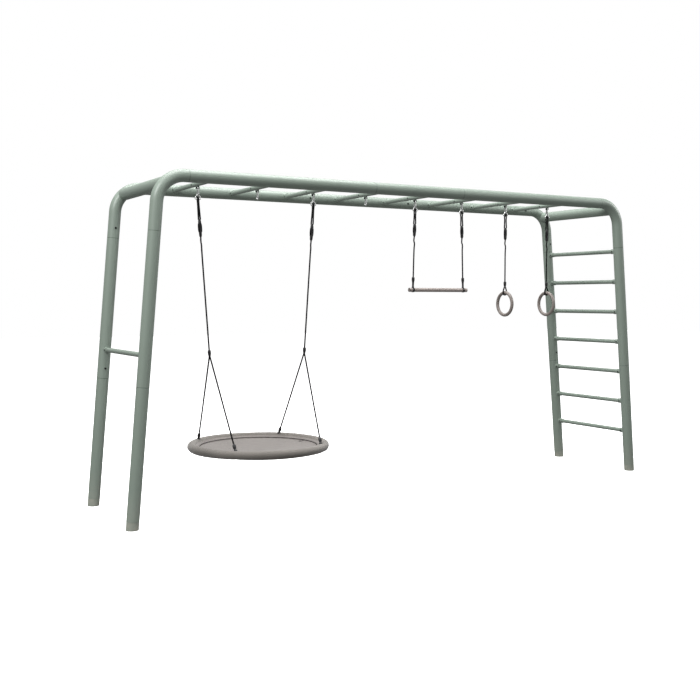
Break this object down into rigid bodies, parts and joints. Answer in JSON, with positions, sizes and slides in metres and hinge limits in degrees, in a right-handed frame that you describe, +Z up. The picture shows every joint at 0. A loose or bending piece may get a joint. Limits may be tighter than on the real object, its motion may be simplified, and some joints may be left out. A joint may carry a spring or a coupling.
{
  "type": "monkey bars",
  "caption": "Free-standing tubular monkey bars with hanging rungs, an end ladder, a tumble bar, a round nest swing, a trapeze and a pair of gym rings.",
  "frame": {"origin": "on the ground, at the middle of the four feet", "axes": "+X along the bars towards the ladder end, +Y from the front rail to the rear rail, +Z up"},
  "size_m": [4.2498, 0.9925, 2.19],
  "materials": {
    "frame_paint": "satin sage-green powder coat",
    "foot_rubber": "matt moulded rubber, close to the frame colour",
    "black_steel": "black coated bolts and screws",
    "black_nylon": "black nylon bushes and washers",
    "galvanised_steel": "bright zinc-plated steel",
    "black_rope": "braided polyester rope",
    "black_plastic": "moulded plastic with a fine texture",
    "bare_steel_tube": "bare steel tube, hidden inside the rim",
    "rim_fabric": "taupe coated fabric over foam",
    "seat_fabric": "taupe woven seat fabric",
    "taupe_paint": "satin taupe paint",
    "taupe_plastic": "satin moulded plastic"
  },
  "bodies": {
    "root": {"front_lower_leg_left": "frame_paint", "front_upper_leg_left": "frame_paint", "front_corner_left": "frame_paint", "front_rail_left": "frame_paint", "front_lower_leg_right": "frame_paint", "front_upper_leg_right": "frame_paint", "front_corner_right": "frame_paint", "front_rail_right": "frame_paint", "front_centre_rail": "frame_paint", "rear_lower_leg_left": "frame_paint", "rear_upper_leg_left": "frame_paint", "rear_corner_left": "frame_paint", "rear_rail_left": "frame_paint", "rear_lower_leg_right": "frame_paint", "rear_upper_leg_right": "frame_paint", "rear_corner_right": "frame_paint", "rear_rail_right": "frame_paint", "rear_centre_rail": "frame_paint", "cross_tubes": "frame_paint", "foot_caps": "foot_rubber", "joint_bolts": "black_steel", "monkey_rung_1": "frame_paint", "monkey_rung_2": "frame_paint", "monkey_rung_3": "frame_paint", "monkey_rung_4": "frame_paint", "monkey_rung_5": "frame_paint", "monkey_rung_6": "frame_paint", "monkey_rung_7": "frame_paint", "monkey_rung_8": "frame_paint", "ladder_rungs": "frame_paint", "tumble_bar": "frame_paint", "rung_sockets": "frame_paint", "rung_fasteners": "black_steel", "hook_ears": "frame_paint", "pivot_bolts": "black_steel", "pivot_bushes": "black_nylon"},
    "nest": {"nest_hook_eyes": "galvanised_steel", "nest_links": "galvanised_steel", "nest_ropes": "black_rope", "nest_rope_fittings": "black_plastic", "nest_rim_tube": "bare_steel_tube", "nest_rim_sleeve": "rim_fabric", "nest_seat": "seat_fabric"},
    "trapeze": {"trapeze_hook_eyes": "galvanised_steel", "trapeze_links": "galvanised_steel", "trapeze_ropes": "black_rope", "trapeze_fittings": "black_plastic", "trapeze_bar": "taupe_paint"},
    "left_ring_hook": {"left_ring_hook_eye": "galvanised_steel"},
    "left_ring_hanger": {"left_ring_link": "galvanised_steel", "left_ring_rope": "black_rope", "left_ring_rope_fittings": "black_plastic", "left_ring": "taupe_plastic"},
    "right_ring_hook": {"right_ring_hook_eye": "galvanised_steel"},
    "right_ring_hanger": {"right_ring_link": "galvanised_steel", "right_ring_rope": "black_rope", "right_ring_rope_fittings": "black_plastic", "right_ring": "taupe_plastic"},
    "spare_hook_left": {"spare_hook_left": "galvanised_steel"},
    "spare_hook_right": {"spare_hook_right": "galvanised_steel"}
  },
  "joints": [
    {"name": "nest_swing", "type": "hinge", "parent": "root", "child": "nest", "pos_m": [-1.0725, -0.051, 2.124], "axis": [1, 0, 0], "range_deg": [-45, 45]},
    {"name": "trapeze_swing", "type": "hinge", "parent": "root", "child": "trapeze", "pos_m": [0.429, -0.051, 2.124], "axis": [1, 0, 0], "range_deg": [-50, 50]},
    {"name": "left_ring_swing", "type": "hinge", "parent": "root", "child": "left_ring_hook", "pos_m": [1.0725, -0.051, 2.124], "axis": [1, 0, 0], "range_deg": [-50, 50]},
    {"name": "left_ring_sway", "type": "hinge", "parent": "left_ring_hook", "child": "left_ring_hanger", "pos_m": [1.0725, -0.051, 2.06745], "axis": [0, 1, 0], "range_deg": [-12, 12]},
    {"name": "right_ring_swing", "type": "hinge", "parent": "root", "child": "right_ring_hook", "pos_m": [1.5015, -0.051, 2.124], "axis": [1, 0, 0], "range_deg": [-50, 50]},
    {"name": "right_ring_sway", "type": "hinge", "parent": "right_ring_hook", "child": "right_ring_hanger", "pos_m": [1.5015, -0.051, 2.06745], "axis": [0, 1, 0], "range_deg": [-12, 12]},
    {"name": "spare_hook_left_swing", "type": "hinge", "parent": "root", "child": "spare_hook_left", "pos_m": [-1.0725, -0.051, 2.124], "axis": [1, 0, 0], "range_deg": [-60, 60]},
    {"name": "spare_hook_right_swing", "type": "hinge", "parent": "root", "child": "spare_hook_right", "pos_m": [-0.2145, -0.051, 2.124], "axis": [1, 0, 0], "range_deg": [-60, 60]}
  ]
}
